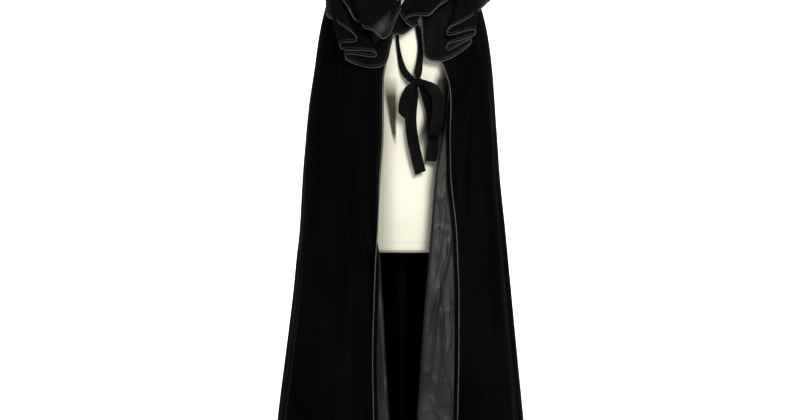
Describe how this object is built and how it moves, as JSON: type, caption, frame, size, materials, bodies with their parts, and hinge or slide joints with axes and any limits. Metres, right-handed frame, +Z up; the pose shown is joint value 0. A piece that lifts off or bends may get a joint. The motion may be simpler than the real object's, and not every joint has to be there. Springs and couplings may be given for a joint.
{
  "type": "velvet ruffled cloak on a dress form",
  "caption": "Floor-length black velvet cloak with a ruffled, piped collar, ribbon bow and satin lining, open at the front on a cream dress form with a stand.",
  "frame": {"origin": "centre of the underside of the stand's base, on the floor", "axes": "+Z up, -Y the front of the cloak, +X the viewer's right"},
  "size_m": [0.6296, 0.482, 1.448],
  "materials": {
    "velvet": "matt pile",
    "satin": "satin",
    "piping": "satin",
    "ribbon": "matt pile",
    "form_cover": "matt",
    "stand_paint": "satin"
  },
  "bodies": {
    "root": {"front_left": "velvet", "front_right": "velvet", "back": "velvet", "lining_front_left": "satin", "lining_front_right": "satin", "lining_back": "satin", "piping_front_left": "piping", "piping_front_right": "piping", "neckband": "velvet", "ruffle_lower": "velvet", "ruffle_upper": "velvet", "piping_ruffle_lower": "piping", "piping_ruffle_upper": "piping", "tie_left": "ribbon", "tie_right": "ribbon", "bow_knot": "ribbon", "bow_loop_left": "ribbon", "bow_loop_right": "ribbon", "bow_tail_left": "ribbon", "bow_tail_right": "ribbon", "form_torso": "form_cover", "stand_pole": "stand_paint", "stand_base": "stand_paint"}
  },
  "joints": []
}
